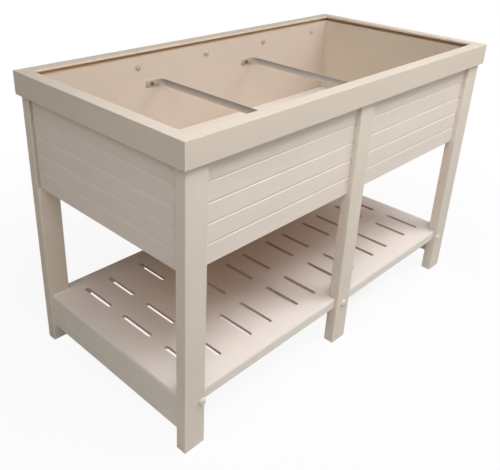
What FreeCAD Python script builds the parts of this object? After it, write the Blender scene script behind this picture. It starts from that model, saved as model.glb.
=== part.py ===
import FreeCAD, Part
import math
import os
import re

import Sketcher

# An elevated planter: a grooved soil box on six legs, with a mitred rim and a slotted shelf.
# It stands on z = 0, centred on the origin, with its length along X and its front towards -Y.

# Driving sizes in millimetres, and counts
SIZES = {
    "overall_length": 1200,  # over the rim
    "overall_width": 596,  # over the rim
    "overall_height": 766,  # ground to the top of the rim
    "rim_height": 57.5,  # apron of the rim moulding
    "rim_thickness": 9,  # apron, which lies flat on the legs
    "flange_width": 32.5,  # top of the rim, outer edge to inner edge
    "flange_thickness": 5.5,
    "rim_radius": 1,  # eased edges of the rim
    "leg_width": 60,  # corner legs, along X
    "middle_leg_width": 57,
    "leg_depth": 30,  # along Y, below the box
    "leg_lap": 12,  # what is left of a leg in front of a long wall
    "leg_strip": 9.5,  # side strip of a corner leg, over the end of a long wall
    "leg_radius": 3,  # eased upright edges
    "wall_thickness": 14,
    "wall_bottom": 472,  # ground to the underside of the box
    "wall_rim_gap": 9.5,  # open joint between a wall and the flange
    "groove_pitch": 46.4,
    "groove_width": 5,
    "groove_depth": 2.8,
    "bearer_height": 30,  # timbers under the box floor
    "bearer_width": 20,
    "floor_thickness": 12,
    "floor_clearance": 1,  # floor to walls, all round
    "drain_diameter": 14,
    "drain_columns": 6,
    "drain_rows": 3,
    "batten_setback": 4,  # lower edge of the apron to the packing behind it
    "rim_screw_rise": 15.5,  # lower edge of the apron to the row of screws
    "rim_screw_start": 17,  # left corner leg to the first screw
    "rim_screw_end": 47,  # last screw to the right corner leg
    "rim_screw_count": 5,
    "rim_screw_length": 23,
    "rim_screw_head": 16,
    "rim_screw_head_height": 6,
    "screw_diameter": 5,
    "screw_clearance": 0.4,  # hole over screw or bolt, on the diameter
    "tie_spacing": 376,  # between the two cross ties
    "tie_drop": 78,  # top of the walls to the middle of the strip
    "tie_width": 18,  # strip, stood on edge
    "tie_thickness": 3,
    "tie_bend": 22,  # inner radius at the tabs
    "tie_tab": 52,
    "tie_screw_inset": 18,  # from the free end of a tab
    "tie_screw_length": 13,
    "tie_screw_head": 11,
    "tie_screw_head_height": 4,
    "shelf_top": 148,
    "shelf_thickness": 9,
    "shelf_recess": 9,  # behind the outer faces of the legs
    "shelf_leg_gap": 1.5,  # beside each leg
    "shelf_radius": 2,  # eased top edges
    "shelf_rail_height": 21,
    "shelf_rail_width": 45,  # front and back rails
    "shelf_cross_width": 30,  # rails across, at both ends and in the middle
    "slot_width": 13,
    "slot_spacing": 77,  # between the two slots of a pair
    "slot_pairs": 6,
    "slot_rows": 3,
    "slot_bridge": 54,  # between slots that lie end to end
    "slot_rail_gap": 9,  # slot end to the rail below
    "slot_start": 123,  # left end of the shelf to the middle of the first pair
    "slot_end": 110.5,  # middle of the last pair to the right end
    "end_rail_height": 71,
    "end_rail_thickness": 18,
    "end_rail_groove": 32,  # rail's underside to its groove
    "tenon_length": 10,
    "tenon_thickness": 8,
    "tenon_shoulder": 12,  # above and below the tenon
    "tenon_clearance": 0.3,  # all round in the mortise
    "bolt_diameter": 8,
    "bolt_length": 48,
    "bolt_head": 20,
    "bolt_head_height": 8,
    "bolt_inset": 10,  # from the inner edge of a corner leg
    "bolt_rise": 8,  # from the underside of the shelf rails
}

# Places that several pieces share, as formulas in the names above
LEG_FACE_X = "(overall_length / 2 - rim_thickness)"
LEG_FACE_Y = "(overall_width / 2 - rim_thickness)"
LEG_INNER_X = f"({LEG_FACE_X} - leg_width)"
LEG_BACK_Y = f"({LEG_FACE_Y} - leg_depth)"
LEG_TOP = "(overall_height - flange_thickness)"
MIDDLE_LEG_X = "(middle_leg_width / 2)"
WALL_FACE_X = f"({LEG_FACE_X} - leg_strip)"
WALL_FACE_Y = f"({LEG_FACE_Y} - leg_lap)"
WALL_INNER_X = f"({WALL_FACE_X} - wall_thickness)"
WALL_INNER_Y = f"({WALL_FACE_Y} - wall_thickness)"
WALL_TOP = f"({LEG_TOP} - wall_rim_gap)"
BEARER_INNER_Y = f"({WALL_INNER_Y} - bearer_width)"
FLOOR_BOTTOM = "(wall_bottom + bearer_height)"
FLOOR_X = f"({WALL_INNER_X} - floor_clearance)"
FLOOR_Y = f"({WALL_INNER_Y} - floor_clearance)"
DRAIN_PITCH_X = f"(2 * {FLOOR_X} / drain_columns)"
DRAIN_PITCH_Y = f"(2 * {FLOOR_Y} / drain_rows)"
RIM_BOTTOM = "(overall_height - rim_height)"
RIM_SCREW_Z = f"({RIM_BOTTOM} + rim_screw_rise)"
RIM_SCREW_PITCH = f"((2 * {LEG_INNER_X} - rim_screw_start - rim_screw_end) / (rim_screw_count - 1))"
TIE_Z = f"({WALL_TOP} - tie_drop)"
TIE_SCREW_X = "(tie_thickness / 2 - tie_tab + tie_screw_inset)"
SHELF_X = f"({LEG_FACE_X} - shelf_recess)"
SHELF_Y = f"({LEG_FACE_Y} - shelf_recess)"
SHELF_BOTTOM = "(shelf_top - shelf_thickness)"
RAIL_BOTTOM = f"({SHELF_BOTTOM} - shelf_rail_height)"
RAIL_INNER_Y = f"({SHELF_Y} - shelf_rail_width)"
SLOT_LENGTH = f"((2 * {RAIL_INNER_Y} - 2 * slot_rail_gap - (slot_rows - 1) * slot_bridge) / slot_rows)"
SLOT_ROW_PITCH = f"({SLOT_LENGTH} + slot_bridge)"
END_RAIL_BOTTOM = f"({RAIL_BOTTOM} - end_rail_height)"
END_RAIL_MIDDLE_X = f"({SHELF_X} - end_rail_thickness / 2)"
BOLT_Z = f"({RAIL_BOTTOM} + bolt_rise)"
BOLT_X = f"({LEG_INNER_X} + bolt_inset)"
SCREW_HOLE = "screw_diameter + screw_clearance"
BOLT_HOLE = "bolt_diameter + screw_clearance"
TIE_SCREW_DEPTH = "tie_screw_length - tie_thickness + screw_clearance"
BOLT_DEPTH = "bolt_length - leg_depth + screw_clearance"

SIDES = (("left", -1), ("right", 1))
FACES = (("front", -1), ("back", 1))
ALONG_X = FreeCAD.Vector(1, 0, 0)
ALONG_Y = FreeCAD.Vector(0, 1, 0)
UPRIGHT = FreeCAD.Vector(0, 0, 1)
SAME_PLACE = 1e-4  # places this near to each other are one
SAME_WAY = 0.999  # cosine between lines that count as parallel

doc = FreeCAD.newDocument("elevated_planter")
sheet = doc.addObject("Spreadsheet::Sheet", "Sizes")
for row, (name, size) in enumerate(SIZES.items(), start=1):
    sheet.set(f"A{row}", name)
    sheet.set(f"B{row}", str(size))
    sheet.setAlias(f"B{row}", name)
doc.recompute()
nodes = []


def bind(thing, prop, formula):
    """Tie a property to a formula in the names of the sheet."""
    words = re.sub(r"\b[a-z]\w*", lambda word: f"Sizes.{word[0]}" if word[0] in SIZES else word[0], formula)
    thing.setExpression(prop, words)


def signed(points, sign_x, sign_y):
    """Points given in one quarter, moved to another."""
    return [(f"{sign_x} * {x}", f"{sign_y} * {y}") for x, y in points]


def rectangle(low_x, high_x, low_y, high_y):
    return [(low_x, low_y), (high_x, low_y), (high_x, high_y), (low_x, high_y)]


# Sketches and features

SHEET_ORIGIN = -1  # a sketch's own origin, held as a curve with one point
START, END, CENTRE = 1, 2, 3  # points of a sketch curve
SEED = 100  # size of sketch curves before their constraints set them


def new_body(label):
    body = doc.addObject("PartDesign::Body", label)
    body.Label = label
    nodes.append(body)
    return body


def origin(body, role):
    return next(feature for feature in body.Origin.OriginFeatures if feature.Role == role)


def new_sketch(body, plane, name, offset="0"):
    sketch = body.newObject("Sketcher::SketchObject", name)
    sketch.AttachmentSupport = [(origin(body, plane), "")]
    sketch.MapMode = "FlatFace"
    bind(sketch, "AttachmentOffset.Base.z", offset)
    return sketch


def fix_point(sketch, curve, point, seed, place):
    """Hold a point of a curve at a place given by two formulas, from the sketch's origin."""
    for kind, value, formula in (("DistanceX", seed.x, place[0]), ("DistanceY", seed.y, place[1])):
        index = sketch.addConstraint(Sketcher.Constraint(kind, SHEET_ORIGIN, START, curve, point, value))
        bind(sketch, f"Constraints[{index}]", formula)


def outline(body, plane, name, points, offset="0"):
    """A closed sketch of straight lines through the points."""
    sketch = new_sketch(body, plane, name, offset)
    turn = 2 * math.pi / len(points)
    angles = [i * turn for i in range(len(points))]
    seeds = [FreeCAD.Vector(SEED * math.cos(angle), SEED * math.sin(angle)) for angle in angles]
    for i, seed in enumerate(seeds):
        sketch.addGeometry(Part.LineSegment(seed, seeds[(i + 1) % len(seeds)]))
    for i in range(len(points)):
        sketch.addConstraint(Sketcher.Constraint("Coincident", i, END, (i + 1) % len(points), START))
    for i, place in enumerate(points):
        fix_point(sketch, i, START, seeds[i], place)
    return sketch


def pad(body, sketch, name, length, symmetric=False):
    feature = body.newObject("PartDesign::Pad", name)
    feature.Profile = sketch
    feature.SideType = "Symmetric" if symmetric else "One side"
    bind(feature, "Length", length)
    return feature


def cut(body, sketch, name, length=None):
    """Cut equally to both sides of the sketch, right through if no length is given."""
    doc.recompute()
    before = body.Shape.Volume
    pocket = body.newObject("PartDesign::Pocket", name)
    pocket.Profile = sketch
    pocket.SideType = "Symmetric"
    if length is None:
        pocket.Type = "ThroughAll"
    else:
        bind(pocket, "Length", length)
    doc.recompute()
    if not body.Shape.Volume < before:
        raise RuntimeError(f"{body.Label}: {name} cuts nothing")
    return pocket


def drill(body, plane, name, centres, diameter, offset="0", depth=None):
    """Round holes of one diameter, right through or to a depth from a face at the offset."""
    sketch = new_sketch(body, plane, name + "Centres", offset)
    for i, place in enumerate(centres):
        seed = FreeCAD.Vector(SEED * i, 0)
        circle = sketch.addGeometry(Part.Circle(seed, UPRIGHT, SEED / 4))
        fix_point(sketch, circle, CENTRE, seed, place)
        index = sketch.addConstraint(Sketcher.Constraint("Diameter", circle, SEED / 2))
        bind(sketch, f"Constraints[{index}]", diameter)
    return cut(body, sketch, name, depth and f"2 * ({depth})")


def repeat(body, feature, name, extent_x, count_x, extent_y, count_y):
    """A grid of copies of a cut, towards +X and +Y."""
    pattern = body.newObject("PartDesign::LinearPattern", name)
    pattern.Originals = [feature]
    pattern.Direction = (origin(body, "X_Axis"), [""])
    pattern.Direction2 = (origin(body, "Y_Axis"), [""])
    for prop, formula in (("Length", extent_x), ("Occurrences", count_x)):
        bind(pattern, prop, formula)
    for prop, formula in (("Length2", extent_y), ("Occurrences2", count_y)):
        bind(pattern, prop, formula)
    body.Tip = pattern
    return pattern


def runs_along(edge, axis):
    step = edge.Vertexes[-1].Point - edge.Vertexes[0].Point
    return abs(step.dot(axis)) > SAME_WAY * step.Length > 0


def ease(body, name, radius, chosen):
    """Round the chosen edges of a body."""
    doc.recompute()
    base = body.Tip
    bounds = base.Shape.BoundBox
    edges = [f"Edge{i}" for i, edge in enumerate(base.Shape.Edges, start=1) if chosen(edge, bounds)]
    fillet = body.newObject("PartDesign::Fillet", name)
    fillet.Base = (base, edges)
    bind(fillet, "Radius", radius)
    return fillet


def at_limit(value, low, high):
    return min(abs(value - low), abs(value - high)) < SAME_PLACE


def timber(label, low, high):
    """A plain rectangular timber between two corners."""
    box = doc.addObject("Part::Box", label)
    box.Label = label
    for axis, length, start, end in zip("xyz", ("Length", "Width", "Height"), low, high):
        bind(box, length, f"{end} - ({start})")
        bind(box, f"Placement.Base.{axis}", start)
    nodes.append(box)
    return box


def span(sign, near, far):
    """The range between two distances from the middle, on one side of it."""
    return (near, far) if sign > 0 else (f"-{far}", f"-{near}")


# Legs


def upright_corner(edge, bounds):
    """Upright edges at the outer corners of a leg's section."""
    place = edge.Vertexes[0].Point
    at_corner = at_limit(place.x, bounds.XMin, bounds.XMax) and at_limit(place.y, bounds.YMin, bounds.YMax)
    return at_corner and runs_along(edge, UPRIGHT)


def leg(label, foot_section, lap_section, bolt_x):
    """A leg with a shoulder under the box, which the wall stands on."""
    body = new_body(label)
    pad(body, outline(body, "XY_Plane", "FootSection", foot_section), "Foot", "wall_bottom")
    lap = outline(body, "XY_Plane", "LapSection", lap_section, offset="wall_bottom")
    pad(body, lap, "Lap", f"{LEG_TOP} - wall_bottom")
    ease(body, "EasedEdges", "leg_radius", upright_corner)
    drill(body, "XZ_Plane", "BoltHole", [(bolt_x, BOLT_Z)], BOLT_HOLE)
    return body


def corner_leg(label, side, face):
    foot = rectangle(LEG_INNER_X, LEG_FACE_X, LEG_BACK_Y, LEG_FACE_Y)
    lap = [
        (LEG_INNER_X, LEG_FACE_Y),
        (LEG_FACE_X, LEG_FACE_Y),
        (LEG_FACE_X, LEG_BACK_Y),
        (WALL_FACE_X, LEG_BACK_Y),
        (WALL_FACE_X, WALL_FACE_Y),
        (LEG_INNER_X, WALL_FACE_Y),
    ]
    body = leg(label, signed(foot, side, face), signed(lap, side, face), f"{side} * {BOLT_X}")
    half = "(tenon_thickness / 2 + tenon_clearance)"
    mortise = rectangle(
        f"({END_RAIL_MIDDLE_X} - {half})",
        f"({END_RAIL_MIDDLE_X} + {half})",
        LEG_BACK_Y,
        f"({LEG_BACK_Y} + tenon_length + tenon_clearance)",
    )
    middle = f"{END_RAIL_BOTTOM} + end_rail_height / 2"
    sketch = outline(body, "XY_Plane", "MortisePlan", signed(mortise, side, face), offset=middle)
    cut(body, sketch, "Mortise", "end_rail_height - 2 * tenon_shoulder + 2 * tenon_clearance")


def middle_leg(label, face):
    foot = rectangle(f"-{MIDDLE_LEG_X}", MIDDLE_LEG_X, LEG_BACK_Y, LEG_FACE_Y)
    lap = rectangle(f"-{MIDDLE_LEG_X}", MIDDLE_LEG_X, WALL_FACE_Y, LEG_FACE_Y)
    body = leg(label, signed(foot, 1, face), signed(lap, 1, face), "0")
    screw = [(rim_screw_x(SIZES["rim_screw_count"] // 2), RIM_SCREW_Z)]
    drill(body, "XZ_Plane", "RimScrewHole", screw, SCREW_HOLE)


def rim_screw_x(number):
    return f"(-{LEG_INNER_X} + rim_screw_start + {number} * {RIM_SCREW_PITCH})"


for face_name, face in FACES:
    for side_name, side in SIDES:
        corner_leg(f"leg_{face_name}_{side_name}", side, face)
    middle_leg(f"leg_{face_name}_middle", face)


# Walls of the soil box, each a board with V-grooves along its outer face


def grooved_profile(inner, outer, bottom, top, groove_levels):
    """Section of a grooved board, upright, from its inner to its outer face."""
    points = [(inner, top), (inner, bottom), (outer, bottom)]
    depth = f"({outer} - groove_depth)"
    for level in groove_levels:
        lower = f"({level} - groove_width / 2)"
        upper = f"({level} + groove_width / 2)"
        points += [(outer, lower), (depth, level), (outer, upper)]
    return points + [(outer, top)]


# The topmost board, above the last groove, is at least half as high as the others.
wall_top = SIZES["overall_height"] - SIZES["flange_thickness"] - SIZES["wall_rim_gap"]
groove_count = int((wall_top - SIZES["wall_bottom"]) / SIZES["groove_pitch"] - 1 / 2)
GROOVE_LEVELS = [f"(wall_bottom + {i} * groove_pitch)" for i in range(1, groove_count + 1)]
TIE_SCREWS = [(f"{side} * tie_spacing / 2 + {TIE_SCREW_X}", TIE_Z) for _, side in SIDES]
RIM_SCREWS = [(rim_screw_x(number), RIM_SCREW_Z) for number in range(SIZES["rim_screw_count"])]

for face_name, face in FACES:
    wall = new_body(f"wall_{face_name}")
    profile = grooved_profile(WALL_INNER_Y, WALL_FACE_Y, "wall_bottom", WALL_TOP, GROOVE_LEVELS)
    section = outline(wall, "YZ_Plane", "Section", signed(profile, face, 1))
    pad(wall, section, "Board", f"2 * {WALL_FACE_X}", symmetric=True)
    drill(wall, "XZ_Plane", "RimScrewHoles", RIM_SCREWS, SCREW_HOLE)
    inner_face = f"{-face} * {WALL_INNER_Y}"
    drill(wall, "XZ_Plane", "TieScrewHoles", TIE_SCREWS, SCREW_HOLE, inner_face, TIE_SCREW_DEPTH)

for side_name, side in SIDES:
    wall = new_body(f"wall_{side_name}_end")
    profile = grooved_profile(WALL_INNER_X, WALL_FACE_X, "wall_bottom", WALL_TOP, GROOVE_LEVELS)
    section = outline(wall, "XZ_Plane", "Section", signed(profile, side, 1))
    pad(wall, section, "Board", f"2 * {WALL_INNER_Y}", symmetric=True)


# Box floor on its bearers

for face_name, face in FACES:
    low_y, high_y = span(face, BEARER_INNER_Y, WALL_INNER_Y)
    timber(
        f"floor_bearer_{face_name}",
        (f"-{WALL_INNER_X}", low_y, "wall_bottom"),
        (WALL_INNER_X, high_y, FLOOR_BOTTOM),
    )

for side_name, side in SIDES:
    ends = span(side, f"({WALL_INNER_X} - bearer_width)", WALL_INNER_X)
    third = f"({side} * {FLOOR_X} / 3)"
    across = (f"({third} - bearer_width / 2)", f"({third} + bearer_width / 2)")
    for name, (low_x, high_x) in (("floor_bearer", ends), ("floor_cross_bearer", across)):
        low = (low_x, f"-{BEARER_INNER_Y}", "wall_bottom")
        timber(f"{name}_{side_name}", low, (high_x, BEARER_INNER_Y, FLOOR_BOTTOM))

floor = new_body("box_floor")
floor_plan = rectangle(f"-{FLOOR_X}", FLOOR_X, f"-{FLOOR_Y}", FLOOR_Y)
pad(floor, outline(floor, "XY_Plane", "Plan", floor_plan), "Sheet", "floor_thickness")
first_drain = (f"-{FLOOR_X} + {DRAIN_PITCH_X} / 2", f"-{FLOOR_Y} + {DRAIN_PITCH_Y} / 2")
drain = drill(floor, "XY_Plane", "DrainHole", [first_drain], "drain_diameter")
repeat(
    floor,
    drain,
    "DrainHoles",
    f"{DRAIN_PITCH_X} * (drain_columns - 1)",
    "drain_columns",
    f"{DRAIN_PITCH_Y} * (drain_rows - 1)",
    "drain_rows",
)
bind(floor, "Placement.Base.z", FLOOR_BOTTOM)


# Rim: four mitred lengths of an L-shaped moulding, packed out by battens between the legs


def rim_profile(outer):
    """Section from the rim's outer face towards the middle of the box."""
    apron_inner = f"({outer} - rim_thickness)"
    flange_inner = f"({outer} - flange_width)"
    return [
        (outer, RIM_BOTTOM),
        (outer, "overall_height"),
        (flange_inner, "overall_height"),
        (flange_inner, LEG_TOP),
        (apron_inner, LEG_TOP),
        (apron_inner, RIM_BOTTOM),
    ]


def rim_length(label, plane, sign, outer, half_length, mitre_points):
    """One length of the rim, with both ends cut at 45 degrees."""
    body = new_body(label)
    section = outline(body, plane, "Section", signed(rim_profile(outer), sign, 1))
    pad(body, section, "Moulding", f"2 * {half_length}", symmetric=True)
    along_x = plane == "YZ_Plane"
    axis = ALONG_X if along_x else ALONG_Y

    def outer_edge(edge, bounds):
        place = edge.Vertexes[0].Point
        across = (place.y, bounds.YMin, bounds.YMax) if along_x else (place.x, bounds.XMin, bounds.XMax)
        return runs_along(edge, axis) and at_limit(*across) and at_limit(place.z, bounds.ZMin, bounds.ZMax)

    ease(body, "EasedEdges", "rim_radius", outer_edge)
    for end_name, end in (("First", -1), ("Last", 1)):
        points = signed(mitre_points, end, sign) if along_x else signed(mitre_points, sign, end)
        cut(body, outline(body, "XY_Plane", f"{end_name}MitrePlan", points), f"{end_name}Mitre")


RIM_X = "(overall_length / 2)"
RIM_Y = "(overall_width / 2)"
MITRE_END = (f"({RIM_X} - 2 * flange_width)", f"({RIM_Y} - 2 * flange_width)")
PAST_X = f"({RIM_X} + flange_width)"
PAST_Y = f"({RIM_Y} + flange_width)"
LONG_OFFCUT = [(RIM_X, RIM_Y), MITRE_END, (PAST_X, MITRE_END[1]), (PAST_X, RIM_Y)]
SHORT_OFFCUT = [(RIM_X, RIM_Y), MITRE_END, (MITRE_END[0], PAST_Y), (RIM_X, PAST_Y)]
BATTEN_BOTTOM = f"({RIM_BOTTOM} + batten_setback)"

for face_name, face in FACES:
    rim_length(f"rim_{face_name}", "YZ_Plane", face, RIM_Y, RIM_X, LONG_OFFCUT)
for side_name, side in SIDES:
    rim_length(f"rim_{side_name}", "XZ_Plane", side, RIM_X, RIM_Y, SHORT_OFFCUT)

screws_per_batten = SIZES["rim_screw_count"] // 2
for face_name, face in FACES:
    for side_name, side in SIDES:
        batten = new_body(f"rim_batten_{face_name}_{side_name}")
        plan = rectangle(MIDDLE_LEG_X, LEG_INNER_X, WALL_FACE_Y, LEG_FACE_Y)
        sketch = outline(batten, "XY_Plane", "Plan", signed(plan, side, face), offset=BATTEN_BOTTOM)
        pad(batten, sketch, "Strip", f"{LEG_TOP} - {BATTEN_BOTTOM}")
        screws = RIM_SCREWS[:screws_per_batten] if side < 0 else RIM_SCREWS[-screws_per_batten:]
        drill(batten, "XZ_Plane", "ScrewHoles", screws, SCREW_HOLE)
for side_name, side in SIDES:
    low_x, high_x = span(side, WALL_FACE_X, LEG_FACE_X)
    low = (low_x, f"-{LEG_BACK_Y}", BATTEN_BOTTOM)
    timber(f"rim_batten_{side_name}_end", low, (high_x, LEG_BACK_Y, LEG_TOP))


# Cross ties: galvanised strips on edge, with a tab bent along each long wall


def inner_bend(edge, bounds):
    upright = runs_along(edge, UPRIGHT)
    return upright and not at_limit(edge.Vertexes[0].Point.x, bounds.XMin, bounds.XMax)


def outer_bend(edge, bounds):
    place = edge.Vertexes[0].Point
    at_bend = abs(place.x - bounds.XMax) < SAME_PLACE and at_limit(place.y, bounds.YMin, bounds.YMax)
    return at_bend and runs_along(edge, UPRIGHT)


def cross_tie(label, middle_x):
    body = new_body(label)
    bar_right = f"({middle_x} + tie_thickness / 2)"
    bar_left = f"({middle_x} - tie_thickness / 2)"
    tab_end = f"({bar_right} - tie_tab)"
    tab_inner = f"({WALL_INNER_Y} - tie_thickness)"
    plan = [
        (bar_right, f"-{WALL_INNER_Y}"),
        (bar_right, WALL_INNER_Y),
        (tab_end, WALL_INNER_Y),
        (tab_end, tab_inner),
        (bar_left, tab_inner),
        (bar_left, f"-{tab_inner}"),
        (tab_end, f"-{tab_inner}"),
        (tab_end, f"-{WALL_INNER_Y}"),
    ]
    sketch = outline(body, "XY_Plane", "Plan", plan, offset=f"{TIE_Z} - tie_width / 2")
    pad(body, sketch, "Strip", "tie_width")
    ease(body, "InnerBends", "tie_bend", inner_bend)
    ease(body, "OuterBends", "tie_bend + tie_thickness", outer_bend)
    screw = [(f"{middle_x} + {TIE_SCREW_X}", TIE_Z)]
    drill(body, "XZ_Plane", "ScrewHoles", screw, SCREW_HOLE)


for side_name, side in SIDES:
    cross_tie(f"cross_tie_{side_name}", f"({side} * tie_spacing / 2)")


# Fasteners: a domed head on a plain shank


def fastener(name, head, head_height, shank, length, place, turn):
    """One fastener, its head towards local +Z, turned about X and set under its head at a place."""
    radius = f"(({head} / 2) ^ 2 + {head_height} ^ 2) / (2 * {head_height})"
    dome = doc.addObject("Part::Sphere", f"{name}_dome")
    bind(dome, "Radius", radius)
    bind(dome, "Angle1", f"asin(1 - {head_height} / ({radius}))")
    bind(dome, "Placement.Base.z", f"{head_height} - {radius}")
    stem = doc.addObject("Part::Cylinder", f"{name}_shank")
    bind(stem, "Radius", f"{shank} / 2")
    bind(stem, "Height", length)
    bind(stem, "Placement.Base.z", f"-{length}")
    whole = doc.addObject("Part::Fuse", name)
    whole.Base = dome
    whole.Tool = stem
    whole.Placement.Rotation = FreeCAD.Rotation(ALONG_X, turn)
    for axis, formula in zip("xyz", place):
        bind(whole, f"Placement.Base.{axis}", formula)
    return whole


def group(label, fasteners):
    compound = doc.addObject("Part::Compound", label)
    compound.Label = label
    compound.Links = fasteners
    nodes.append(compound)


rim_screws = []
tie_screws = []
shelf_bolts = []
for face_name, face in FACES:
    inward = 90 * face
    for i, (x, z) in enumerate(RIM_SCREWS):
        sizes = ("rim_screw_head", "rim_screw_head_height", "screw_diameter", "rim_screw_length")
        place = (x, f"{face} * {WALL_INNER_Y}", z)
        rim_screws.append(fastener(f"rim_screw_{face_name}_{i}", *sizes, place, inward))
    for i, (x, z) in enumerate(TIE_SCREWS):
        sizes = ("tie_screw_head", "tie_screw_head_height", "screw_diameter", "tie_screw_length")
        place = (x, f"{face} * ({WALL_INNER_Y} - tie_thickness)", z)
        tie_screws.append(fastener(f"tie_screw_{face_name}_{i}", *sizes, place, inward))
    for i, x in enumerate((f"-{BOLT_X}", "0", BOLT_X)):
        sizes = ("bolt_head", "bolt_head_height", "bolt_diameter", "bolt_length")
        place = (x, f"{face} * {LEG_FACE_Y}", BOLT_Z)
        shelf_bolts.append(fastener(f"shelf_bolt_{face_name}_{i}", *sizes, place, -inward))
group("rim_screws", rim_screws)
group("tie_screws", tie_screws)
group("shelf_bolts", shelf_bolts)


# Shelf: a slotted sheet on rails, all notched around the legs

CORNER_NOTCH = f"({LEG_INNER_X} - shelf_leg_gap)"
MIDDLE_NOTCH = f"({MIDDLE_LEG_X} + shelf_leg_gap)"


def notched_edge(face):
    """Points along the front or back edge, from left to right, around the three legs."""
    right = [
        (MIDDLE_NOTCH, LEG_BACK_Y),
        (MIDDLE_NOTCH, SHELF_Y),
        (CORNER_NOTCH, SHELF_Y),
        (CORNER_NOTCH, LEG_BACK_Y),
        (SHELF_X, LEG_BACK_Y),
    ]
    return signed(right[::-1], -1, face) + signed(right, 1, face)


def slot(sketch, centre_x, centre_y, seed_x):
    """A round-ended slot along Y."""
    half = f"(({SLOT_LENGTH} - slot_width) / 2)"
    radius_seed = SEED / 4
    top_seed = FreeCAD.Vector(seed_x, SEED)
    bottom_seed = FreeCAD.Vector(seed_x, -SEED)
    reach = radius_seed * ALONG_X
    top = sketch.addGeometry(Part.ArcOfCircle(Part.Circle(top_seed, UPRIGHT, radius_seed), 0, math.pi))
    left = sketch.addGeometry(Part.LineSegment(top_seed - reach, bottom_seed - reach))
    lower_circle = Part.Circle(bottom_seed, UPRIGHT, radius_seed)
    bottom = sketch.addGeometry(Part.ArcOfCircle(lower_circle, math.pi, 2 * math.pi))
    right = sketch.addGeometry(Part.LineSegment(bottom_seed + reach, top_seed + reach))
    for curve, following in ((top, left), (left, bottom), (bottom, right), (right, top)):
        sketch.addConstraint(Sketcher.Constraint("Tangent", curve, END, following, START))
    sketch.addConstraint(Sketcher.Constraint("Equal", top, bottom))
    index = sketch.addConstraint(Sketcher.Constraint("Radius", top, radius_seed))
    bind(sketch, f"Constraints[{index}]", "slot_width / 2")
    fix_point(sketch, top, CENTRE, top_seed, (centre_x, f"{centre_y} + {half}"))
    fix_point(sketch, bottom, CENTRE, bottom_seed, (centre_x, f"{centre_y} - {half}"))


def top_edge(edge, bounds):
    """Top edges on the outside of the sheet."""
    place = edge.Vertexes[0].Point
    front = runs_along(edge, ALONG_X) and at_limit(place.y, bounds.YMin, bounds.YMax)
    end = runs_along(edge, ALONG_Y) and at_limit(place.x, bounds.XMin, bounds.XMax)
    return (front or end) and abs(place.z - bounds.ZMax) < SAME_PLACE


shelf = new_body("shelf")
shelf_plan = notched_edge(-1) + notched_edge(1)[::-1]
pad(shelf, outline(shelf, "XY_Plane", "Plan", shelf_plan), "Sheet", "shelf_thickness")
ease(shelf, "EasedEdges", "shelf_radius", top_edge)
pair_plan = new_sketch(shelf, "XY_Plane", "SlotPairPlan")
first_pair = f"-{SHELF_X} + slot_start"
first_row = f"-{SLOT_ROW_PITCH} * (slot_rows - 1) / 2"
for _, side in SIDES:
    slot(pair_plan, f"{first_pair} + {side} * slot_spacing / 2", first_row, SEED * side)
slot_pair = cut(shelf, pair_plan, "SlotPair")
repeat(
    shelf,
    slot_pair,
    "Slots",
    f"2 * {SHELF_X} - slot_start - slot_end",
    "slot_pairs",
    f"{SLOT_ROW_PITCH} * (slot_rows - 1)",
    "slot_rows",
)
bind(shelf, "Placement.Base.z", SHELF_BOTTOM)

BOLT_PLACES = [(f"-{BOLT_X}", BOLT_Z), ("0", BOLT_Z), (BOLT_X, BOLT_Z)]
for face_name, face in FACES:
    rail = new_body(f"shelf_rail_{face_name}")
    inner_edge = signed([(SHELF_X, RAIL_INNER_Y), (f"-{SHELF_X}", RAIL_INNER_Y)], 1, face)
    sketch = outline(rail, "XY_Plane", "Plan", notched_edge(face) + inner_edge, offset=RAIL_BOTTOM)
    pad(rail, sketch, "Rail", "shelf_rail_height")
    notch_face = f"{-face} * {LEG_BACK_Y}"
    drill(rail, "XZ_Plane", "BoltHoles", BOLT_PLACES, BOLT_HOLE, notch_face, BOLT_DEPTH)

slot_middle = "((slot_start - slot_end) / 2)"
half_width = "shelf_cross_width / 2"
cross_rails = {"middle": (f"({slot_middle} - {half_width})", f"({slot_middle} + {half_width})")}
for side_name, side in SIDES:
    cross_rails[side_name] = span(side, f"({SHELF_X} - shelf_cross_width)", SHELF_X)
for place_name, (low_x, high_x) in cross_rails.items():
    low = (low_x, f"-{RAIL_INNER_Y}", RAIL_BOTTOM)
    timber(f"shelf_cross_rail_{place_name}", low, (high_x, RAIL_INNER_Y, SHELF_BOTTOM))


# End rails under the shelf, grooved like the walls and tenoned into the corner legs

for side_name, side in SIDES:
    rail = new_body(f"end_rail_{side_name}")
    inner_x = f"({SHELF_X} - end_rail_thickness)"
    groove = [f"({END_RAIL_BOTTOM} + end_rail_groove)"]
    profile = grooved_profile(inner_x, SHELF_X, END_RAIL_BOTTOM, RAIL_BOTTOM, groove)
    section = outline(rail, "XZ_Plane", "Section", signed(profile, side, 1))
    pad(rail, section, "Board", f"2 * {LEG_BACK_Y}", symmetric=True)
    tenon = rectangle(
        f"({END_RAIL_MIDDLE_X} - tenon_thickness / 2)",
        f"({END_RAIL_MIDDLE_X} + tenon_thickness / 2)",
        f"({END_RAIL_BOTTOM} + tenon_shoulder)",
        f"({RAIL_BOTTOM} - tenon_shoulder)",
    )
    tenon_section = outline(rail, "XZ_Plane", "TenonSection", signed(tenon, side, 1))
    pad(rail, tenon_section, "Tenons", f"2 * ({LEG_BACK_Y} + tenon_length)", symmetric=True)


# Check every object, then write one file for each piece

doc.recompute()
for thing in doc.Objects:
    if "Invalid" in thing.State or "Error" in thing.State:
        raise RuntimeError(f"{thing.Label}: {thing.State}")
for node in nodes:
    if node.Shape.isNull() or not node.Shape.isValid():
        raise RuntimeError(f"{node.Label}: no valid shape")

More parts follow.
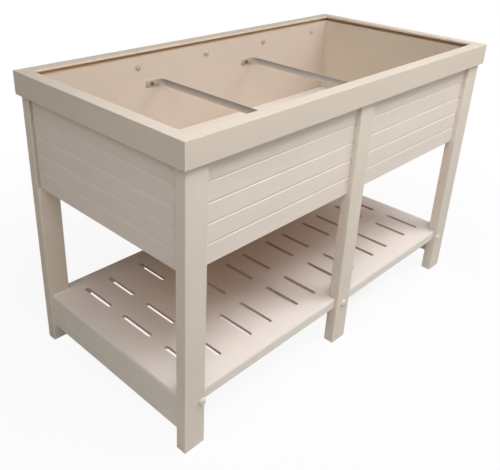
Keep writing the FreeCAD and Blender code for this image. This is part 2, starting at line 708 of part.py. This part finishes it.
os.makedirs("parts", exist_ok=True)
for node in nodes:
    node.Shape.exportStep(f"parts/{node.Label}.step")
print(f"{len(nodes)} pieces written")
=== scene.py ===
import math
from collections import namedtuple

import bpy
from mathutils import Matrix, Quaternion, Vector


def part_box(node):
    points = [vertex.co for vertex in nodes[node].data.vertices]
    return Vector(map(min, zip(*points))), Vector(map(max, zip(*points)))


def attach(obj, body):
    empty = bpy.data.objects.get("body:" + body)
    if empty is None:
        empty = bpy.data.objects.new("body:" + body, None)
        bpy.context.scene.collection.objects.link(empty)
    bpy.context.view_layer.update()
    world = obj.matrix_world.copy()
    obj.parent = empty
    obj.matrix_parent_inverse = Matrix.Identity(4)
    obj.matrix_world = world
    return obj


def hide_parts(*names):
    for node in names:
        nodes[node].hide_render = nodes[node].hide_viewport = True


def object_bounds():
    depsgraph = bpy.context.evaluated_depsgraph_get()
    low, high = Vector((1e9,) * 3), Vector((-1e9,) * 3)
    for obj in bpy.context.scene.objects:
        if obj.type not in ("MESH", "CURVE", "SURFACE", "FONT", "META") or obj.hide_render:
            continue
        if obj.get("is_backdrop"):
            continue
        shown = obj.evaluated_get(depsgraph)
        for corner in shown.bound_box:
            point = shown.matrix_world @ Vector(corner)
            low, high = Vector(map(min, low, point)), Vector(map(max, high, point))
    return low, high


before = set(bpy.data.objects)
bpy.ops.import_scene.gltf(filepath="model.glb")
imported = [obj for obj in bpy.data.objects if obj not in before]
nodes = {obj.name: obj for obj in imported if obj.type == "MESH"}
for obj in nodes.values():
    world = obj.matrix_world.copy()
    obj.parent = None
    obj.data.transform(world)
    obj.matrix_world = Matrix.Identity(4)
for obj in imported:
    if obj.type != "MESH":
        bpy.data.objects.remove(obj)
cad_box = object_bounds()

# Legs: six straight-grained timbers, planed, eased along their upright edges and lapped at the
# top over the walls. They are sprayed with two coats of satin cream paint, so the grain only
# shows as faint long ripples under the film.
FRAME_TINTS = ((0.70, 0.629, 0.54, 1), (0.778, 0.711, 0.629, 1))
RECESS_SHADE_TINTS = ((0.49, 0.432, 0.36, 1), (0.545, 0.488, 0.42, 1))
SAWN_GAP_SHADE_TINTS = ((0.55, 0.40, 0.265, 1), (0.66, 0.505, 0.37, 1))
MIX_FACTOR = 0
MIX_LOW = 6
MIX_HIGH = 7
MIX_RESULT = 2


class Wire:
    """An output socket of a material's nodes. Python's operators on wires add Math nodes."""

    def __init__(self, tree, socket=None):
        self.tree = tree
        self.socket = socket

    def node(self, kind, inputs=(), output=0, **settings):
        """Add a node: its settings first, then the values or wires of its sockets."""
        added = self.tree.nodes.new(kind)
        for name, value in settings.items():
            setattr(added, name, value)
        for name, value in dict(inputs).items():
            if isinstance(value, Wire):
                self.tree.links.new(value.socket, added.inputs[name])
            else:
                added.inputs[name].default_value = value
        return Wire(self.tree, added.outputs[output])

    def math(self, operation, *values):
        return self.node("ShaderNodeMath", enumerate(values), operation=operation)

    def __add__(self, other):
        return self.math("ADD", self, other)

    __radd__ = __add__

    def __sub__(self, other):
        return self.math("SUBTRACT", self, other)

    def __rsub__(self, other):
        return self.math("SUBTRACT", other, self)

    def __mul__(self, other):
        return self.math("MULTIPLY", self, other)

    __rmul__ = __mul__

    def __abs__(self):
        return self.math("ABSOLUTE", self)

    def __lt__(self, other):
        return self.math("LESS_THAN", self, other)

    def __gt__(self, other):
        return self.math("GREATER_THAN", self, other)

    def blend(self, low, high):
        """Mix two colours by this wire, through the colour sockets of a Mix node."""
        sockets = {MIX_FACTOR: self, MIX_LOW: low, MIX_HIGH: high}
        return self.node("ShaderNodeMix", sockets, output=MIX_RESULT, data_type="RGBA")


def new_finish(name):
    """An empty material, with the wire that starts its nodes and its surface shader."""
    material = bpy.data.materials.new(name)
    material.use_nodes = True
    shader = material.node_tree.nodes["Principled BSDF"]
    return material, Wire(material.node_tree), shader


def feed(shader, **wires):
    """Lead wires into the shader's sockets; an underscore in a name stands for a space."""
    for name, wire in wires.items():
        wire.tree.links.new(wire.socket, shader.inputs[name.replace("_", " ").title()])


def cover(finish, *names):
    """Give nodes one finish all over."""
    for name in names:
        slots = nodes[name].data.materials
        slots.clear()
        slots.append(finish)


NOISE_MIDDLE = 0.5
EVEN_ROUGHNESS = 0.5
RIPPLE_DETAIL = 4
RIPPLE_ROUGHNESS = 0.6
FAINT_FIGURE = 0.5
CLOUD_SCALE = 3.5
CLOUD_DETAIL = 3
CLOUD_SHARE = 0.9
PEEL_SCALE = 700
PEEL_DETAIL = 1
PEEL_SHARE = 0.25
RELIEF_STRENGTH = 0.35
RELIEF_HEIGHT = 0.0004
SATIN_ROUGHNESS = 0.5
SATIN_MOTTLE = 0.2
SATIN_SHEEN = 0.02


def noise(place, scale, detail, roughness=EVEN_ROUGHNESS):
    """A soft noise with so many waves to a metre, and so many finer layers on them."""
    sockets = {"Vector": place, "Scale": scale, "Detail": detail, "Roughness": roughness}
    return place.node("ShaderNodeTexNoise", sockets)


def cream_paint(name, grain, tints, *coats, figure=FAINT_FIGURE):
    """Satin paint over timber. grain gives how many ripples a metre holds along X, Y and Z, and figure
    how strongly they show. Each of the further coats is a function that makes the wire of where it
    lies, and its tints."""
    material, wire, shader = new_finish(name)
    place = wire.node("ShaderNodeTexCoord", output="Object")
    stretched = wire.node("ShaderNodeMapping", {"Vector": place, "Scale": grain})
    ripple = noise(stretched, scale=1, detail=RIPPLE_DETAIL, roughness=RIPPLE_ROUGHNESS)
    cloud = noise(place, CLOUD_SCALE, CLOUD_DETAIL)
    peel = noise(place, PEEL_SCALE, PEEL_DETAIL)
    tone = NOISE_MIDDLE + CLOUD_SHARE * (cloud - NOISE_MIDDLE) + figure * (ripple - NOISE_MIDDLE)
    colour = tone.blend(*tints)
    # Besides real paint, the coats carry painted shade and painted highlight in their tints.
    for where, coat_tints in coats:
        colour = where(place).blend(colour, tone.blend(*coat_tints))
    relief = (1 - PEEL_SHARE) * ripple + PEEL_SHARE * peel
    film = {"Height": relief, "Strength": RELIEF_STRENGTH, "Distance": RELIEF_HEIGHT}
    bump = wire.node("ShaderNodeBump", film)
    feed(shader, base_color=colour, roughness=SATIN_ROUGHNESS + SATIN_MOTTLE * cloud, normal=bump)
    shader.inputs["Specular IOR Level"].default_value = SATIN_SHEEN
    return material


ALONG = 4
ACROSS = 160
UPRIGHT_GRAIN = (ACROSS, ACROSS, ALONG)
LENGTHWISE_GRAIN = (ALONG, ACROSS, ACROSS)
CROSSWISE_GRAIN = (ACROSS, ALONG, ACROSS)
SKIN = 0.0005
RECESS_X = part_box("wall_right_end")[1][0]
RECESS_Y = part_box("leg_back_left")[0][1] + SKIN
RECESS_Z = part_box("wall_right_end")[0][2]
WALL_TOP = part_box("wall_right_end")[1][2] - SKIN


def along(place, axis):
    """How far a point lies along one axis of the planter."""
    return place.node("ShaderNodeSeparateXYZ", {0: place}, output=axis)


def within(place, axis, limit):
    """1 where a point lies no further than the limit from the middle plane of the planter."""
    return abs(along(place, axis)) < limit


def above(place, height):
    """1 where a point lies above the height."""
    return along(place, "Z") > height


def recess(place):
    """1 on the narrow faces of the corner legs beside the end walls, which carry painted shade."""
    return (1 - within(place, "X", RECESS_X)) * within(place, "Y", RECESS_Y) * above(place, RECESS_Z)


def sawn_gap_shade(place):
    """1 on the sawn ends and edges in the joint under the rim: bare timber, darkened as painted shade in
    the gap.
    """
    return above(place, WALL_TOP)


# The legs carry painted shade on their narrow faces beside the end walls, and their sawn tops under the
# rim are darkened as painted shade in the gap.
gap_shade_coat = (sawn_gap_shade, SAWN_GAP_SHADE_TINTS)
leg_coats = ((recess, RECESS_SHADE_TINTS), gap_shade_coat)
upright_paint = cream_paint("frame_paint_upright", UPRIGHT_GRAIN, FRAME_TINTS, *leg_coats)
cover(upright_paint, *(name for name in nodes if name.startswith("leg_")))

# Walls of the soil box: softwood boards moulded with five V-grooves on the outside and left
# smooth inside. They were sprayed in a paler batch. A paler painted highlight lies in the grooves,
# painted shade on the faces inside the box, and the sawn top is bare, darkened as painted shade in the gap
# under the rim.
BOARD_TINTS = ((0.757, 0.669, 0.605, 1), (0.82, 0.741, 0.68, 1))
GROOVE_HIGHLIGHT_TINTS = ((0.795, 0.719, 0.664, 1), (0.861, 0.797, 0.747, 1))
INSIDE_SHADE_TINTS = ((0.578, 0.486, 0.403, 1), (0.654, 0.563, 0.483, 1))
END_INSIDE_SHADE_TINTS = ((0.612, 0.525, 0.416, 1), (0.692, 0.608, 0.50, 1))
WALL_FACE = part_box("wall_back")[0][1]
INSIDE_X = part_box("wall_right_end")[0][0] + SKIN
INSIDE_Y = WALL_FACE + SKIN
OUTSIDE_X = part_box("wall_right_end")[1][0] - SKIN
OUTSIDE_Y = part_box("wall_back")[1][1] - SKIN
GROOVE_DEPTH = 0.003


def inside_box_shade(place):
    """1 on the faces that look into the soil box, which carry painted shade."""
    return within(place, "X", INSIDE_X) * within(place, "Y", INSIDE_Y)


def long_groove_highlight(place):
    """1 in the grooves of the long walls, which carry a paler painted highlight."""
    return within(place, "Y", OUTSIDE_Y) - within(place, "Y", OUTSIDE_Y - GROOVE_DEPTH)


def end_groove_highlight(place):
    """1 in the grooves of the end walls, which carry a paler painted highlight."""
    return within(place, "X", OUTSIDE_X) - within(place, "X", OUTSIDE_X - GROOVE_DEPTH)


wall_coats = ((long_groove_highlight, GROOVE_HIGHLIGHT_TINTS), (inside_box_shade, INSIDE_SHADE_TINTS), gap_shade_coat)
end_wall_coats = ((end_groove_highlight, GROOVE_HIGHLIGHT_TINTS), (inside_box_shade, END_INSIDE_SHADE_TINTS), gap_shade_coat)
wall_paint = cream_paint("wall_paint_lengthwise", LENGTHWISE_GRAIN, BOARD_TINTS, *wall_coats)
end_wall_paint = cream_paint("wall_paint_crosswise", CROSSWISE_GRAIN, BOARD_TINTS, *end_wall_coats)
cover(wall_paint, "wall_front", "wall_back")
cover(end_wall_paint, "wall_left_end", "wall_right_end")

# Box floor: a drilled sheet that lies loose on sawn bearers, which are glued along the foot of
# the walls and across the box. Only its upper face is painted, and the rest is bare, reddish timber.
BARE_TINTS = ((0.44, 0.20, 0.075, 1), (0.58, 0.29, 0.115, 1))
BOLD_FIGURE = 1.4
FLOOR_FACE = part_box("box_floor")[1][2] - SKIN


def floor_face(place):
    """1 on the upper face of the box floor."""
    return above(place, FLOOR_FACE)


face_coat = (floor_face, BOARD_TINTS)
floor_timber = cream_paint("floor_timber", LENGTHWISE_GRAIN, BARE_TINTS, face_coat, figure=BOLD_FIGURE)
long_timber = cream_paint("bare_timber_lengthwise", LENGTHWISE_GRAIN, BARE_TINTS, figure=BOLD_FIGURE)
cross_timber = cream_paint("bare_timber_crosswise", CROSSWISE_GRAIN, BARE_TINTS, figure=BOLD_FIGURE)
cover(floor_timber, "box_floor")
cover(long_timber, "floor_bearer_front", "floor_bearer_back")
cover(cross_timber, *(name for name in nodes if name.startswith("floor_cross")))
cover(cross_timber, "floor_bearer_left", "floor_bearer_right")

# Rim: four lengths of L-shaped moulding with eased edges, mitred and glued at the corners and
# packed out from the walls by sawn battens between the legs. Its paint is a little deeper than
# that of the legs, and the battens are bare timber, darkened as painted shade in the gap.
RIM_TINTS = ((0.63, 0.555, 0.471, 1), (0.70, 0.627, 0.548, 1))

lengthwise_paint = cream_paint("rim_paint_lengthwise", LENGTHWISE_GRAIN, RIM_TINTS)
crosswise_paint = cream_paint("rim_paint_crosswise", CROSSWISE_GRAIN, RIM_TINTS)
batten_timber = cream_paint("batten_timber_lengthwise", LENGTHWISE_GRAIN, SAWN_GAP_SHADE_TINTS, figure=BOLD_FIGURE)
end_batten_timber = cream_paint("batten_timber_crosswise", CROSSWISE_GRAIN, SAWN_GAP_SHADE_TINTS, figure=BOLD_FIGURE)
cover(lengthwise_paint, "rim_front", "rim_back")
cover(crosswise_paint, "rim_left", "rim_right")
cover(batten_timber, *(f"rim_batten_front_{side}" for side in ("left", "right")))
cover(batten_timber, *(f"rim_batten_back_{side}" for side in ("left", "right")))
cover(end_batten_timber, "rim_batten_left_end", "rim_batten_right_end")

# Rim screws: a row inside each long wall, driven through it into the battens behind the rim.
# Their wide steel heads are domed, with a cross recess, and painted darker than the wall, as painted shade
# on the heads.
SCREW_SHADE_TINTS = ((0.47, 0.39, 0.315, 1), (0.56, 0.475, 0.395, 1))
SCREW_BAND = 0.2
SCREW_RINGS = 8
SCREW_ARM = 0.16
SCREW_REACH = 0.42
SCREW_DEPTH = 0.25
APART = 0.05
SIDES = 48
STEEP = 0.5
QUARTER = math.pi / 2
TURN = math.radians(37)
CREASE = math.radians(35)

Fastener = namedtuple("Fastener", "x z radius near far side")


def fasteners(name):
    """Every fastener of a node: its middle, its radius, its least and greatest distance from the XZ
    plane, and its side of that plane. They stand in two rows along X, well apart."""
    for side in (-1, 1):
        row = [vertex.co for vertex in nodes[name].data.vertices if vertex.co.y * side > 0]
        row.sort(key=lambda point: point.x)
        groups = [[row[0]]]
        for point in row[1:]:
            if point.x - groups[-1][-1].x > APART:
                groups.append([])
            groups[-1].append(point)
        for group in groups:
            x = [point.x for point in group]
            z = [point.z for point in group]
            reach = [abs(point.y) for point in group]
            middle = ((min(x) + max(x)) / 2, (min(z) + max(z)) / 2)
            yield Fastener(*middle, (max(x) - min(x)) / 2, min(reach), max(reach), side)


def turned_head(radius, rise, band, rings):
    """A head turned from rod, standing on the ground plane. The band is the share of its rise below
    the crown, which has so many rings."""
    bpy.ops.object.select_all(action="DESELECT")
    bpy.ops.mesh.primitive_circle_add(vertices=SIDES, radius=radius, fill_type="NGON")
    bpy.ops.object.mode_set(mode="EDIT")
    bpy.ops.mesh.select_all(action="SELECT")
    bpy.ops.mesh.extrude_region_move(TRANSFORM_OT_translate={"value": (0, 0, band * rise)})
    width, height = 1, 0
    for ring in range(1, rings + 1):
        angle = QUARTER * ring / (rings + 1)
        step = (math.sin(angle) - height) * (1 - band) * rise
        bpy.ops.mesh.extrude_region_move(TRANSFORM_OT_translate={"value": (0, 0, step)})
        share = math.cos(angle) / width
        bpy.ops.transform.resize(value=(share, share, 1))
        width, height = math.cos(angle), math.sin(angle)
    bpy.ops.object.mode_set(mode="OBJECT")
    return bpy.context.object


def cut_cross(head, arm, reach, depth, top):
    """Sink a cross recess into the crown of a head: how wide an arm is, how far it reaches from the
    middle, how deep it goes, and how high the crown stands."""
    bpy.ops.object.select_all(action="DESELECT")
    bpy.ops.mesh.primitive_cube_add(size=arm, location=(0, 0, top))
    cutter = bpy.context.object
    cutter.dimensions.z = 2 * depth
    bpy.ops.object.transform_apply(location=True, rotation=False, scale=True)
    bpy.ops.object.mode_set(mode="EDIT")
    bpy.ops.mesh.select_mode(type="FACE")
    bpy.ops.mesh.select_all(action="DESELECT")
    bpy.ops.object.mode_set(mode="OBJECT")
    for face in cutter.data.polygons:
        face.select = abs(face.normal.z) < STEEP
    bpy.ops.object.mode_set(mode="EDIT")
    bpy.ops.mesh.extrude_faces_move(TRANSFORM_OT_shrink_fatten={"value": reach - arm / 2})
    bpy.ops.object.mode_set(mode="OBJECT")
    bpy.ops.object.select_all(action="DESELECT")
    bpy.context.view_layer.objects.active = head
    head.select_set(True)
    bpy.ops.object.modifier_add(type="BOOLEAN")
    cross = head.modifiers[-1]
    cross.operation = "DIFFERENCE"
    cross.solver = "EXACT"
    cross.object = cutter
    bpy.ops.object.modifier_apply(modifier=cross.name)
    bpy.data.objects.remove(cutter)


def set_heads(head, name, node, finish, seats):
    """Copy a head to its seats, each (x, y, z, way along Y), and join the copies into one piece."""
    head.data.materials.append(finish)
    copies = []
    for number, (x, y, z, way) in enumerate(seats):
        bpy.ops.object.select_all(action="DESELECT")
        bpy.context.view_layer.objects.active = head
        head.select_set(True)
        bpy.ops.object.duplicate(linked=False)
        copy = bpy.context.object
        copy.rotation_euler = (-way * QUARTER, number * TURN, 0)
        copy.location = (x, y, z)
        copies.append(copy)
    bpy.data.objects.remove(head)
    bpy.ops.object.select_all(action="DESELECT")
    for copy in copies:
        copy.select_set(True)
    bpy.context.view_layer.objects.active = copies[0]
    bpy.ops.object.join()
    bpy.ops.object.transform_apply(location=True, rotation=True, scale=True)
    bpy.ops.object.shade_smooth_by_angle(angle=CREASE)
    piece = bpy.context.object
    piece.name = name
    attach(piece, "root")
    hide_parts(node)


rim_screws = list(fasteners("rim_screws"))
radius = rim_screws[0].radius
rise = WALL_FACE - rim_screws[0].near
head = turned_head(radius, rise, SCREW_BAND, SCREW_RINGS)
cut_cross(head, SCREW_ARM * radius, SCREW_REACH * radius, SCREW_DEPTH * rise, rise)
seats = [(screw.x, screw.side * WALL_FACE, screw.z, -screw.side) for screw in rim_screws]
screw_shade_paint = cream_paint("screw_shade_paint", UPRIGHT_GRAIN, SCREW_SHADE_TINTS)
set_heads(head, "rim_screw_heads", "rim_screws", screw_shade_paint, seats)

# Cross ties: galvanised mild-steel strips that stand on edge across the box, with both ends
# bent along the walls. The zinc has faint spangles. The strip carries painted shade on its upper half and
# a painted reflection on its lower half, and the tabs a painted cream reflection of the walls with painted
# shade along their lower edge.
LIT_ZINC_TINTS = ((0.59, 0.57, 0.55, 1), (0.68, 0.66, 0.64, 1))
SHADED_ZINC_TINTS = ((0.315, 0.305, 0.30, 1), (0.40, 0.385, 0.375, 1))
TAB_REFLECTION_TINTS = ((0.70, 0.60, 0.50, 1), (0.81, 0.71, 0.61, 1))
TAB_SHADE_TINTS = ((0.48, 0.40, 0.29, 1), (0.58, 0.49, 0.37, 1))
SPANGLE_SCALE = 160
SPANGLE_SHARE = 0.3
HAZE_SCALE = 40
HAZE_DETAIL = 4
ZINC_ROUGHNESS = 0.36
ZINC_MOTTLE = 0.16
ZINC_METALLIC = 0.85
TIE_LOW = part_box("cross_tie_left")[0][2]
TIE_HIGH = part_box("cross_tie_left")[1][2]
TAB_DEPTH = 0.004
TAB_FADE = 0.008
TAB_FULL = WALL_FACE - TAB_DEPTH
TAB_START = TAB_FULL - TAB_FADE


def rising(value, low, high):
    """0 below one value, 1 above another, and a smooth step between them."""
    limits = {"Value": value, "From Min": low, "From Max": high}
    return value.node("ShaderNodeMapRange", limits, interpolation_type="SMOOTHSTEP")


galvanised, wire, shader = new_finish("galvanised_steel")
place = wire.node("ShaderNodeTexCoord", output="Object")
spangle = wire.node("ShaderNodeTexVoronoi", {"Vector": place, "Scale": SPANGLE_SCALE}, output="Color")
grey_spangle = wire.node("ShaderNodeRGBToBW", {"Color": spangle})
shade = (1 - SPANGLE_SHARE) * noise(place, HAZE_SCALE, HAZE_DETAIL) + SPANGLE_SHARE * grey_spangle
# Painted light by height: the strip is darker above as painted shade and lighter below as painted
# reflection; the tabs carry a painted cream reflection, shaded at their lower edge.
upper = rising(along(place, "Z"), TIE_LOW, TIE_HIGH)
tab = rising(abs(along(place, "Y")), TAB_START, TAB_FULL)
strip_colour = upper.blend(shade.blend(*LIT_ZINC_TINTS), shade.blend(*SHADED_ZINC_TINTS))
tab_colour = upper.blend(shade.blend(*TAB_SHADE_TINTS), shade.blend(*TAB_REFLECTION_TINTS))
tie_colour = tab.blend(strip_colour, tab_colour)
feed(shader, base_color=tie_colour, roughness=ZINC_ROUGHNESS + ZINC_MOTTLE * shade)
shader.inputs["Metallic"].default_value = ZINC_METALLIC
cover(galvanised, "cross_tie_left", "cross_tie_right")

# Tie screws: pan-head steel screws with a dark zinc plating and a cross recess, one driven
# through each tab of a tie into the wall.
DARK_ZINC_TINTS = ((0.10, 0.085, 0.07, 1), (0.20, 0.18, 0.16, 1))
WEAR_SCALE = 300
WEAR_DETAIL = 3
PLATING_ROUGHNESS = 0.35
PLATING_MOTTLE = 0.3
PAN_BAND = 0.3
PAN_RINGS = 8
PAN_ARM = 0.2
PAN_REACH = 0.5
PAN_DEPTH = 0.5
TIE_THICKNESS = 0.003

dark_zinc, wire, shader = new_finish("dark_zinc")
wear = noise(wire.node("ShaderNodeTexCoord", output="Object"), WEAR_SCALE, WEAR_DETAIL)
plating_roughness = PLATING_ROUGHNESS + PLATING_MOTTLE * wear
feed(shader, base_color=wear.blend(*DARK_ZINC_TINTS), roughness=plating_roughness)
shader.inputs["Metallic"].default_value = 1

tab_face = WALL_FACE - TIE_THICKNESS
tie_screws = list(fasteners("tie_screws"))
radius = tie_screws[0].radius
rise = tab_face - tie_screws[0].near
head = turned_head(radius, rise, PAN_BAND, PAN_RINGS)
cut_cross(head, PAN_ARM * radius, PAN_REACH * radius, PAN_DEPTH * rise, rise)
seats = [(screw.x, screw.side * tab_face, screw.z, -screw.side) for screw in tie_screws]
set_heads(head, "tie_screw_heads", "tie_screws", dark_zinc, seats)

# Shelf: a sheet with three rows of round-ended slots, notched around the legs, on rails that
# are notched the same way and bolted to the legs. The sheet has the palest paint of all, and the
# walls of the slots and the underside of the sheet carry darker painted shade.
SHELF_TINTS = ((0.865, 0.80, 0.755, 1), (0.925, 0.87, 0.832, 1))
SLOT_SHADE_TINTS = ((0.62, 0.47, 0.375, 1), (0.74, 0.595, 0.505, 1))
RAIL_TINTS = ((0.76, 0.702, 0.632, 1), (0.82, 0.769, 0.703, 1))
SHELF_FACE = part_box("shelf")[1][2] - SKIN
SLOT_MARGIN = 0.004
SLOTS_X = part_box("leg_back_right")[0][0] - SLOT_MARGIN
SLOTS_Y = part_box("leg_back_right")[0][1] - SLOT_MARGIN


def slot_walls_shade(place):
    """1 on the walls of the slots and under the sheet, where the painted shade lies."""
    return within(place, "X", SLOTS_X) * within(place, "Y", SLOTS_Y) * (1 - above(place, SHELF_FACE))


shelf_paint = cream_paint("shelf_paint", LENGTHWISE_GRAIN, SHELF_TINTS, (slot_walls_shade, SLOT_SHADE_TINTS))
rail_paint = cream_paint("rail_paint_lengthwise", LENGTHWISE_GRAIN, RAIL_TINTS)
cross_rail_paint = cream_paint("rail_paint_crosswise", CROSSWISE_GRAIN, RAIL_TINTS)
cover(shelf_paint, "shelf")
cover(rail_paint, "shelf_rail_front", "shelf_rail_back")
cover(cross_rail_paint, *(f"shelf_cross_rail_{part}" for part in ("left", "middle", "right")))

# End rails: softwood boards with one V-groove, painted with the shelf's rails. One stands under
# each end of the shelf, tenoned into the corner legs.
cover(cross_rail_paint, "end_rail_left", "end_rail_right")

# Shelf bolts: steel bolts with a smooth mushroom head, one through each leg into the shelf rail
# behind it. Their domes are painted with the legs.
BOLT_BAND = 0.15
BOLT_RINGS = 12

leg_face = -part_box("leg_front_left")[0][1]
shelf_bolts = list(fasteners("shelf_bolts"))
head = turned_head(shelf_bolts[0].radius, shelf_bolts[0].far - leg_face, BOLT_BAND, BOLT_RINGS)
seats = [(bolt.x, bolt.side * leg_face, bolt.z, bolt.side) for bolt in shelf_bolts]
set_heads(head, "shelf_bolt_heads", "shelf_bolts", upright_paint, seats)

# Studio: a white sweep. What the camera and reflections see of it is plain white, and the floor
# keeps the planter's shadow: a deep shade under the shelf, and a faint one that fades out around.
PLAIN_WHITE = (1, 1, 1, 1)
FLOOR_SIZE = 30
FLOOR_DROP = 0.0005
FLOOR_WHITE = 0.8
SHADOW_NEAR = 0.5
SHADOW_FAR = 1.8
SHADOW_SHARE = 0.08
SHADE_MIDDLE = (0.2, 0.1)
SHADE_REACH = (0.5, 0.33)
SHADE_FADE = 0.5
SHADE_SHARE = 0.9

bpy.ops.object.select_all(action="DESELECT")
bpy.ops.mesh.primitive_plane_add(size=FLOOR_SIZE, location=(0, 0, -FLOOR_DROP))
floor = bpy.context.object
floor.name = "studio_floor"
white_floor, wire, shader = new_finish("white_floor")
shader.inputs["Base Color"].default_value = (FLOOR_WHITE, FLOOR_WHITE, FLOOR_WHITE, 1)
shader.inputs["Roughness"].default_value = 1
shader.inputs["Specular IOR Level"].default_value = 0


def seen(wire):
    """1 on the rays that show the studio itself, in the camera, in gloss and through glass."""
    camera = wire.node("ShaderNodeLightPath", output="Is Camera Ray")
    gloss = wire.node("ShaderNodeLightPath", output="Is Glossy Ray")
    through = wire.node("ShaderNodeLightPath", output="Is Transmission Ray")
    return camera.math("MAXIMUM", camera, gloss.math("MAXIMUM", gloss, through))


def fading(point, near, far, share):
    """A share of the shadow that fades out between two distances from the point's origin."""
    distance = point.node("ShaderNodeVectorMath", {0: point}, output="Value", operation="LENGTH")
    spread = {"Value": distance, "From Min": near, "From Max": far, "To Min": share, "To Max": 0}
    return point.node("ShaderNodeMapRange", spread, interpolation_type="SMOOTHSTEP")


place = wire.node("ShaderNodeTexCoord", output="Object")
narrow = [1 / reach for reach in SHADE_REACH]
slide = [-middle / reach for middle, reach in zip(SHADE_MIDDLE, SHADE_REACH)]
under = wire.node("ShaderNodeMapping", {"Vector": place, "Location": (*slide, 0), "Scale": (*narrow, 0)})
shadow = fading(place, SHADOW_NEAR, SHADOW_FAR, SHADOW_SHARE) + fading(under, SHADE_FADE, 1, SHADE_SHARE)
white = wire.node("ShaderNodeEmission", {"Color": PLAIN_WHITE, "Strength": 1})
body = Wire(wire.tree, shader.outputs[0])
mixed = wire.node("ShaderNodeMixShader", {0: (1 - shadow) * seen(wire), 1: body, 2: white})
wire.tree.links.new(mixed.socket, wire.tree.nodes["Material Output"].inputs["Surface"])
floor.data.materials.append(white_floor)
floor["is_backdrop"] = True

world = bpy.data.worlds.new("white_sweep")
world.use_nodes = True
bpy.context.scene.world = world
wire = Wire(world.node_tree)
sky = world.node_tree.nodes["Background"]
sky.inputs["Color"].default_value = PLAIN_WHITE
wire.tree.links.new(seen(wire).socket, sky.inputs["Strength"])

# Lamps: soft boxes above and in front of the planter, with weak and slightly warm fill from the
# left, the right, the front and behind.
WHITE = (1, 1, 1)
WARM = (1, 0.94, 0.86)
AIM = (0, 0, 0.5)


def soft_box(name, place, width, height, power, colour=WHITE):
    """A rectangular lamp that faces the middle of the planter."""
    lamp = bpy.data.lights.new(name, "AREA")
    lamp.color = colour
    lamp.shape = "RECTANGLE"
    lamp.size = width
    lamp.size_y = height
    lamp.energy = power
    box = bpy.data.objects.new(name, lamp)
    box.location = place
    box.rotation_mode = "QUATERNION"
    box.rotation_quaternion = (Vector(AIM) - Vector(place)).to_track_quat("-Z", "Y")
    bpy.context.scene.collection.objects.link(box)


soft_box("high_right", place=(1.6, -1.6, 2.3), width=1.4, height=1.0, power=17)
soft_box("overhead_front", place=(0, -0.9, 2.5), width=3.0, height=1.0, power=16)
soft_box("high_left", place=(-1.6, -1.6, 2.3), width=1.4, height=1.0, power=9.8)
soft_box("near_strip", place=(0, -0.75, 1.7), width=2.2, height=0.6, power=12)
soft_box("left_high", place=(-2.2, -0.3, 2.3), width=1.6, height=1.0, power=10, colour=WARM)
soft_box("left_fill", place=(-2.2, -0.3, 1.4), width=1.6, height=1.0, power=2.5, colour=WARM)
soft_box("right_fill", place=(2.2, -0.3, 2.0), width=2.0, height=1.0, power=7, colour=WARM)
soft_box("back_fill", place=(0, 2.8, 0.35), width=3.2, height=0.5, power=20, colour=WARM)
soft_box("side_fill", place=(-2.6, -0.2, 0.9), width=2.0, height=1.4, power=1.2, colour=WARM)
soft_box("low_front_fill", place=(0, -2.6, 0.6), width=3.2, height=1.0, power=5.2, colour=WARM)
soft_box("right_front_fill", place=(1.2, -2.4, 1.4), width=1.6, height=1.0, power=5.5, colour=WARM)

# Camera, at the angle of the photograph: a little tilted, with the picture cropped off centre, so
# that the lens is shifted by the distance from the optical centre to the middle of the picture.
PICTURE_WIDTH = 500
PICTURE_HEIGHT = 470
FOCAL_PIXELS = 628.4
CENTRE_X = 229.5
CENTRE_Y = 189.7
AZIMUTH = math.radians(-46.335)
ELEVATION = math.radians(25.841)
ROLL = math.radians(1.997)
CAMERA_PLACE = (-1.2754, -1.0530, 1.1667)

camera_data = bpy.data.cameras.new("camera")
camera_data.lens = FOCAL_PIXELS / PICTURE_WIDTH * camera_data.sensor_width
camera_data.shift_x = (PICTURE_WIDTH / 2 - CENTRE_X) / PICTURE_WIDTH
camera_data.shift_y = (CENTRE_Y - PICTURE_HEIGHT / 2) / PICTURE_WIDTH
camera = bpy.data.objects.new("camera", camera_data)
flat = math.cos(ELEVATION)
back = Vector((math.sin(AZIMUTH) * flat, -math.cos(AZIMUTH) * flat, math.sin(ELEVATION)))
camera.location = CAMERA_PLACE
camera.rotation_mode = "QUATERNION"
camera.rotation_quaternion = back.to_track_quat("Z", "Y") @ Quaternion((0, 0, 1), ROLL)
bpy.context.scene.collection.objects.link(camera)
bpy.context.scene.camera = camera
bpy.context.scene.view_settings.view_transform = "Standard"

boxes = {"cad": cad_box, "visual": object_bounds()}
{name: [list(corner) for corner in box] for name, box in boxes.items()}
